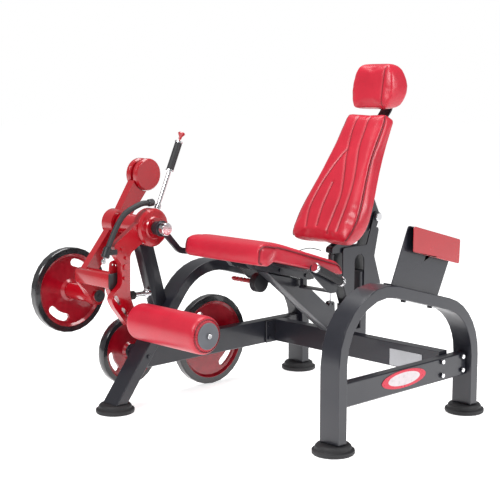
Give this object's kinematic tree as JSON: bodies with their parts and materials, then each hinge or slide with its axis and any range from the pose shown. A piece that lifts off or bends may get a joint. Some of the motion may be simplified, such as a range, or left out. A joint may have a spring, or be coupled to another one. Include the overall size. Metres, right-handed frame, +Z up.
{
  "type": "leg extension machine",
  "caption": "Plate-loaded seated leg extension machine with a tilting backrest, a padded roller lever, a counterweighted plate arm and stored plates.",
  "frame": {"origin": "centre of the footprint on the floor", "axes": "+X to the sitting user's left, +Y towards the backrest, +Z up"},
  "size_m": [1.498, 1.376, 1.3934],
  "materials": {
    "frame_paint": "satin anthracite",
    "red_paint": "glossy red",
    "plate_paint": "glossy deep red with a black rim",
    "red_vinyl": "fine-grained red upholstery vinyl with dark seams",
    "black_rubber": "matt black",
    "black_plastic": "satin black",
    "chrome": "polished",
    "grey_plastic": "satin grey"
  },
  "bodies": {
    "frame": {"left_arch": "frame_paint", "right_arch": "frame_paint", "left_beam": "frame_paint", "spine_beam": "frame_paint", "cross_beam": "frame_paint", "seat_strut": "frame_paint", "backrest_column": "frame_paint", "column_plates": "frame_paint", "tilt_pin": "chrome", "pivot_post": "frame_paint", "bearing_barrel": "red_paint", "axle": "chrome", "axle_collar": "black_plastic", "axle_brace": "frame_paint", "seat_frame": "frame_paint", "seat_pad": "red_vinyl", "grip_core_left": "chrome", "grip_core_right": "chrome", "grip_left": "black_rubber", "grip_right": "black_rubber", "foot_front_left": "black_rubber", "foot_rear_left": "black_rubber", "foot_front_right": "black_rubber", "foot_rear_right": "black_rubber", "front_peg": "frame_paint", "rear_peg": "frame_paint", "release_housing": "black_plastic", "release_cable": "black_rubber", "bumper_stem": "chrome", "bumper_head": "black_rubber", "sign_bracket": "frame_paint", "sign_panel": "red_paint", "badge": "red_paint", "instruction_plate": "grey_plastic"},
    "release_lever": {"release_lever": "red_paint"},
    "backrest": {"backrest_pad": "red_vinyl", "headrest_pad": "red_vinyl", "backrest_frame": "frame_paint"},
    "gas_rod": {"gas_spring_rod": "chrome"},
    "gas_cylinder": {"gas_spring_cylinder": "black_plastic"},
    "weight_lever": {"weight_arm": "red_paint", "counterweight_inner": "red_paint", "counterweight_outer": "red_paint", "cross_tube_cap": "black_plastic", "weight_horn": "red_paint", "weight_horn_cap": "black_plastic"},
    "leg_lever": {"leg_arm": "red_paint", "roller_shaft": "chrome", "handle_rod": "chrome", "handle_grip": "black_rubber", "release_hose": "black_rubber", "hose_clamp": "black_plastic", "index_housing": "black_plastic"},
    "start_pin": {"start_pin": "chrome"},
    "release_button": {"release_button": "red_paint"},
    "roller": {"roller_pad": "red_vinyl", "roller_end_cap": "grey_plastic"},
    "plate_1": {"weight_plate_1": "plate_paint"},
    "plate_2": {"weight_plate_2": "plate_paint"},
    "plate_3": {"weight_plate_3": "plate_paint"}
  },
  "joints": [
    {"name": "extension", "type": "hinge", "parent": "frame", "child": "weight_lever", "pos_m": [-0.284, -0.40695, 0.735], "axis": [-1, 0, 0], "range_deg": [0, 72]},
    {"name": "start_position", "type": "hinge", "parent": "weight_lever", "child": "leg_lever", "pos_m": [-0.284, -0.40695, 0.735], "axis": [-1, 0, 0], "range_deg": [-10, 15]},
    {"name": "roller_spin", "type": "hinge", "parent": "leg_lever", "child": "roller", "pos_m": [0.006, -0.52295, 0.38], "axis": [1, 0, 0], "continuous": true},
    {"name": "start_pin_slide", "type": "slide", "parent": "leg_lever", "child": "start_pin", "axis": [0, 0.4015, 0.9159], "range_m": [0, 0.008], "stiffness_N_per_m": 400, "springref_m": -0.004},
    {"name": "release_button_press", "type": "slide", "parent": "leg_lever", "child": "release_button", "axis": [0, -0.4067, -0.9135], "range_m": [0, 0.008], "stiffness_N_per_m": 400, "springref_m": -0.004},
    {"name": "backrest_tilt", "type": "hinge", "parent": "frame", "child": "backrest", "pos_m": [0.066, 0.57505, 0.729], "axis": [1, 0, 0], "range_deg": [-6, 4]},
    {"name": "gas_rod_swing", "type": "hinge", "parent": "frame", "child": "gas_rod", "pos_m": [0.066, 0.30805, 0.375], "axis": [1, 0, 0], "range_deg": [-8, 8]},
    {"name": "gas_cylinder_slide", "type": "slide", "parent": "gas_rod", "child": "gas_cylinder", "axis": [0, 0, 1], "range_m": [-0.032, 0.032]},
    {"name": "release_lever_turn", "type": "hinge", "parent": "frame", "child": "release_lever", "pos_m": [-0.0353, -0.03695, 0.497], "axis": [0, 1, 0], "range_deg": [0, 10], "stiffness_Nm_per_rad": 4, "springref_deg": -5.73},
    {"name": "plate_1_slide", "type": "slide", "parent": "weight_lever", "child": "plate_1", "axis": [-1, 0, 0], "range_m": [0, 0.1]},
    {"name": "plate_2_slide", "type": "slide", "parent": "frame", "child": "plate_2", "axis": [-1, 0, 0], "range_m": [0, 0.1]},
    {"name": "plate_3_slide", "type": "slide", "parent": "frame", "child": "plate_3", "axis": [-1, 0, 0], "range_m": [0, 0.1]}
  ],
  "couplings": [
    {"joint": "gas_rod_swing", "follows": "backrest_tilt", "ratio": -0.54},
    {"joint": "gas_cylinder_slide", "follows": "backrest_tilt", "m_per_rad": -0.267}
  ]
}
